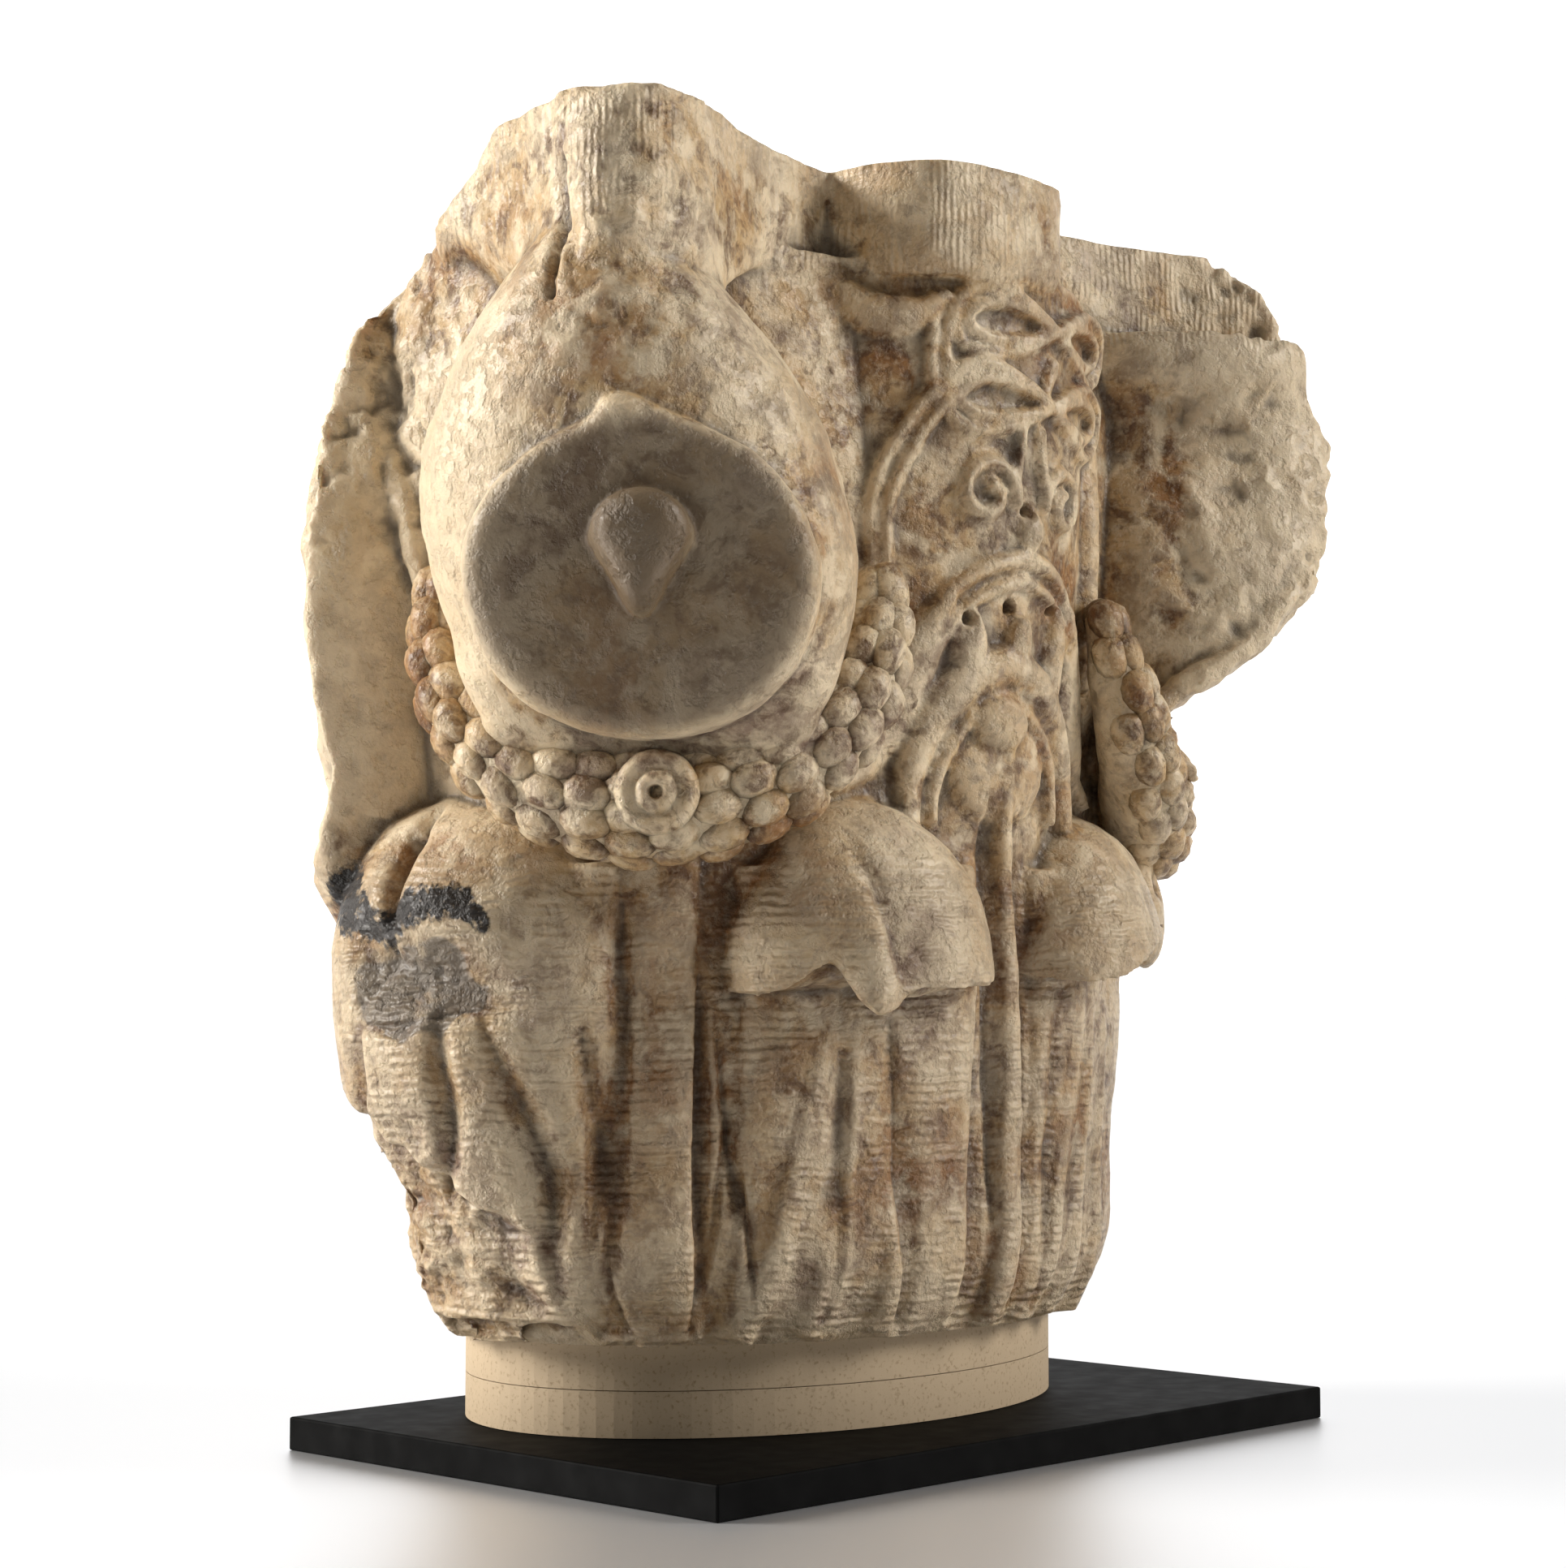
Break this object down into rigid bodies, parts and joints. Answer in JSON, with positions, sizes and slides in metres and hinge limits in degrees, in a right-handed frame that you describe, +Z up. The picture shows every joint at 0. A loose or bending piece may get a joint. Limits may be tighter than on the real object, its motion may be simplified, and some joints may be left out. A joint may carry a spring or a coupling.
{
  "type": "romanesque capital",
  "caption": "Carved marble capital with discs, a hanging festoon and leaves, broken at its corners, on an oval collar and a flat base plate.",
  "frame": {"origin": "middle of the base plate's underside", "axes": "+Z up, +X along the plate's long side, the long carved face of the capital looks along -Y"},
  "size_m": [0.4417, 0.3202, 0.4583],
  "materials": {
    "marble": "weathered cream marble with honey and brown stains, claw-chiselled",
    "collar": "matt stone-coloured paint with fine specks",
    "base": "satin black paint"
  },
  "bodies": {
    "root": {"capital": "marble", "collar_upper": "collar", "collar_lower": "collar", "base_plate": "base"}
  },
  "joints": []
}
